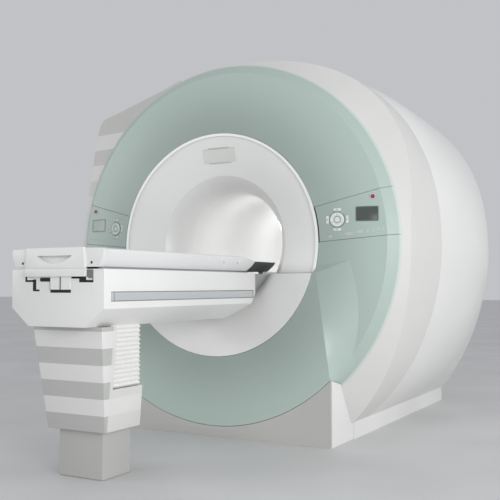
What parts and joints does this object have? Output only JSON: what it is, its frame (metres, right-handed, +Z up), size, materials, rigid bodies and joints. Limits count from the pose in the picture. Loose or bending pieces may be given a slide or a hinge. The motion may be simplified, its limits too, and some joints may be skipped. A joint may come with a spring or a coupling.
{
  "type": "mri scanner",
  "caption": "Whole-body magnetic imaging scanner with a tunnel magnet in moulded covers and a sliding patient table on a pedestal.",
  "frame": {"origin": "on the floor under the centre of the magnet", "axes": "+Y along the bore from the table end to the rear, +Z up, +X to the right seen from the table end"},
  "size_m": [2.3418, 3.165, 2.1205],
  "materials": {
    "cover_white": "satin moulded cover",
    "cover_green": "satin pale green cover",
    "cover_grey": "pale grey, fading stripes on one side",
    "key_plastic": "pale keys",
    "stop_red": "red stop button",
    "screen": "dark display",
    "steel": "painted steel",
    "epoxy": "cast resin",
    "window": "translucent lamp window",
    "belt_rubber": "toothed belt",
    "aluminium": "anodised",
    "motor_black": "black motor",
    "dark_grey": "dark moulded plastic",
    "bellows": "pleated white gaiter",
    "tube_white": "bore lining",
    "top_white": "glass-fibre tabletop",
    "striped_white": "white with grey bands",
    "trim_white": "bright trim ring"
  },
  "bodies": {
    "root": {"accent_rails": "aluminium", "base_front_panel": "cover_grey", "base_side_panels": "cover_white", "body_coil": "epoxy", "cold_head_turret": "steel", "control_panel_left": "cover_green", "control_panel_right": "cover_green", "display_left": "screen", "display_right": "screen", "docking_beam": "steel", "drive_belt": "belt_rubber", "drive_motor": "motor_black", "front_arch_cover": "cover_green", "front_collar": "cover_grey", "front_cover_frame": "steel", "front_lower_cover": "cover_green", "funnel_lower": "cover_white", "funnel_trim": "trim_white", "funnel_upper": "cover_white", "gradient_coil": "epoxy", "guide_rails": "aluminium", "lift_column_inner": "aluminium", "lift_column_outer": "steel", "light_window": "window", "magnet_cryostat": "steel", "magnet_feet": "steel", "patient_tube": "tube_white", "pedestal_bellows": "bellows", "pedestal_cover": "striped_white", "pedestal_stand": "cover_grey", "plinth_panels": "cover_white", "pulley_brackets": "steel", "rear_cover": "cover_white", "rear_cover_frame": "steel", "rear_funnel": "cover_white", "side_cover_left": "cover_white", "side_cover_right": "cover_white", "table_body_cover": "cover_white", "table_bridge": "tube_white", "table_deck": "steel"},
    "tabletop": {"tabletop": "top_white", "tabletop_end_plate": "cover_white", "tabletop_nose": "dark_grey", "coil_sockets": "cover_white"},
    "drive_pulley": {"drive_pulley": "aluminium"},
    "idler_pulley": {"idler_pulley": "aluminium"},
    "stop_button_left": {"stop_button_left": "stop_red"},
    "centre_button_left": {"centre_button_left": "key_plastic"},
    "key_up_left": {"key_up_left": "key_plastic"},
    "key_down_left": {"key_down_left": "key_plastic"},
    "key_in_left": {"key_in_left": "key_plastic"},
    "key_out_left": {"key_out_left": "key_plastic"},
    "dial_ring_left": {"dial_ring_left": "key_plastic"},
    "stop_button_right": {"stop_button_right": "stop_red"},
    "centre_button_right": {"centre_button_right": "key_plastic"},
    "key_up_right": {"key_up_right": "key_plastic"},
    "key_down_right": {"key_down_right": "key_plastic"},
    "key_in_right": {"key_in_right": "key_plastic"},
    "key_out_right": {"key_out_right": "key_plastic"},
    "dial_ring_right": {"dial_ring_right": "key_plastic"}
  },
  "joints": [
    {"name": "tabletop_travel", "type": "slide", "parent": "root", "child": "tabletop", "axis": [0, 1, 0], "range_m": [0, 1.2]},
    {"name": "drive_pulley_turn", "type": "hinge", "parent": "root", "child": "drive_pulley", "pos_m": [0, -2.08, 0.8], "axis": [-1, 0, 0], "range_deg": [-5, 2279.1]},
    {"name": "idler_pulley_turn", "type": "hinge", "parent": "root", "child": "idler_pulley", "pos_m": [0, -1.06, 0.8], "axis": [-1, 0, 0], "range_deg": [-5, 2279.1]},
    {"name": "stop_button_left_press", "type": "slide", "parent": "root", "child": "stop_button_left", "axis": [0.1736, 0.9845, -0.0262], "range_m": [0, 0.003], "stiffness_N_per_m": 600, "springref_m": -0.001},
    {"name": "centre_button_left_press", "type": "slide", "parent": "root", "child": "centre_button_left", "axis": [0.1736, 0.9845, -0.0262], "range_m": [0, 0.002], "stiffness_N_per_m": 400, "springref_m": -0.001},
    {"name": "key_up_left_press", "type": "slide", "parent": "root", "child": "key_up_left", "axis": [0.1736, 0.9845, -0.0262], "range_m": [0, 0.002], "stiffness_N_per_m": 400, "springref_m": -0.001},
    {"name": "key_down_left_press", "type": "slide", "parent": "root", "child": "key_down_left", "axis": [0.1736, 0.9845, -0.0262], "range_m": [0, 0.002], "stiffness_N_per_m": 400, "springref_m": -0.001},
    {"name": "key_in_left_press", "type": "slide", "parent": "root", "child": "key_in_left", "axis": [0.1736, 0.9845, -0.0262], "range_m": [0, 0.002], "stiffness_N_per_m": 400, "springref_m": -0.001},
    {"name": "key_out_left_press", "type": "slide", "parent": "root", "child": "key_out_left", "axis": [0.1736, 0.9845, -0.0262], "range_m": [0, 0.002], "stiffness_N_per_m": 400, "springref_m": -0.001},
    {"name": "dial_ring_left_jog", "type": "hinge", "parent": "root", "child": "dial_ring_left", "pos_m": [-0.6945, -0.924, 1.127], "axis": [0.1736, 0.9845, -0.0262], "range_deg": [-30, 30], "stiffness_Nm_per_rad": 0.05},
    {"name": "stop_button_right_press", "type": "slide", "parent": "root", "child": "stop_button_right", "axis": [-0.1736, 0.9845, -0.0262], "range_m": [0, 0.003], "stiffness_N_per_m": 600, "springref_m": -0.001},
    {"name": "centre_button_right_press", "type": "slide", "parent": "root", "child": "centre_button_right", "axis": [-0.1736, 0.9845, -0.0262], "range_m": [0, 0.002], "stiffness_N_per_m": 400, "springref_m": -0.001},
    {"name": "key_up_right_press", "type": "slide", "parent": "root", "child": "key_up_right", "axis": [-0.1736, 0.9845, -0.0262], "range_m": [0, 0.002], "stiffness_N_per_m": 400, "springref_m": -0.001},
    {"name": "key_down_right_press", "type": "slide", "parent": "root", "child": "key_down_right", "axis": [-0.1736, 0.9845, -0.0262], "range_m": [0, 0.002], "stiffness_N_per_m": 400, "springref_m": -0.001},
    {"name": "key_in_right_press", "type": "slide", "parent": "root", "child": "key_in_right", "axis": [-0.1736, 0.9845, -0.0262], "range_m": [0, 0.002], "stiffness_N_per_m": 400, "springref_m": -0.001},
    {"name": "key_out_right_press", "type": "slide", "parent": "root", "child": "key_out_right", "axis": [-0.1736, 0.9845, -0.0262], "range_m": [0, 0.002], "stiffness_N_per_m": 400, "springref_m": -0.001},
    {"name": "dial_ring_right_jog", "type": "hinge", "parent": "root", "child": "dial_ring_right", "pos_m": [0.6945, -0.924, 1.127], "axis": [-0.1736, 0.9845, -0.0262], "range_deg": [-30, 30], "stiffness_Nm_per_rad": 0.05}
  ],
  "couplings": [
    {"joint": "drive_pulley_turn", "follows": "tabletop_travel", "rad_per_m": 33.003},
    {"joint": "idler_pulley_turn", "follows": "tabletop_travel", "rad_per_m": 33.003}
  ]
}
